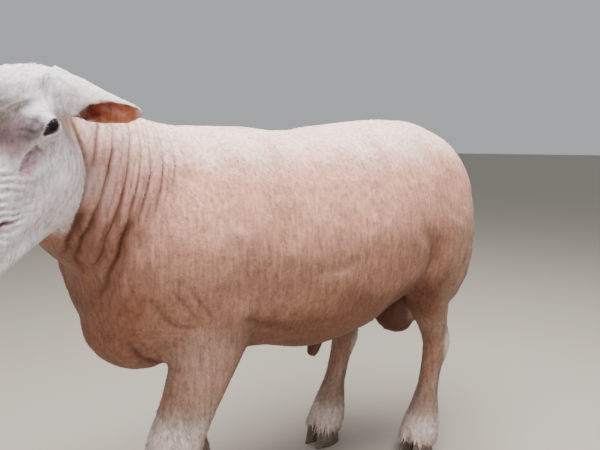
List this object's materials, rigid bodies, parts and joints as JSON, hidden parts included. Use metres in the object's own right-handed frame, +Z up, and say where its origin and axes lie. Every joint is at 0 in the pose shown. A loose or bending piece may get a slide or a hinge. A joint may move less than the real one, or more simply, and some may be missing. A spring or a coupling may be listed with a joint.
{
  "type": "shorn adult ram of a meat breed, standing, still model",
  "caption": "Life-size still model of a shorn, polled adult ram of a meat breed, standing with its head turned to its left.",
  "frame": {"origin": "on the ground, under the centre of the model's box in plan", "axes": "+Z up, the ram's body faces -X with its tail towards +X, and its left side is towards -Y"},
  "size_m": [1.2366, 0.4278, 0.8331],
  "materials": {
    "shorn_wool": "pink skin under wool shorn to a few millimetres",
    "white_hair": "short white hair and tufts of wool",
    "dark_skin": "bare brown skin, matt",
    "ear_skin": "thin pink skin with short white hair outside",
    "eye": "wet and glossy",
    "hoof_horn": "worn dull horn"
  },
  "bodies": {
    "root": {"head": "white_hair", "neck": "shorn_wool", "trunk": "shorn_wool", "tail": "white_hair", "scrotum": "dark_skin", "sheath": "dark_skin", "foreleg_left": "white_hair", "foreleg_right": "white_hair", "hindleg_left": "white_hair", "hindleg_right": "white_hair", "ear_left": "ear_skin", "ear_right": "ear_skin", "eye_left": "eye", "eye_right": "eye", "hoof_fore_left_outer": "hoof_horn", "hoof_fore_left_inner": "hoof_horn", "hoof_fore_right_outer": "hoof_horn", "hoof_fore_right_inner": "hoof_horn", "hoof_hind_left_outer": "hoof_horn", "hoof_hind_left_inner": "hoof_horn", "hoof_hind_right_outer": "hoof_horn", "hoof_hind_right_inner": "hoof_horn"}
  },
  "joints": []
}
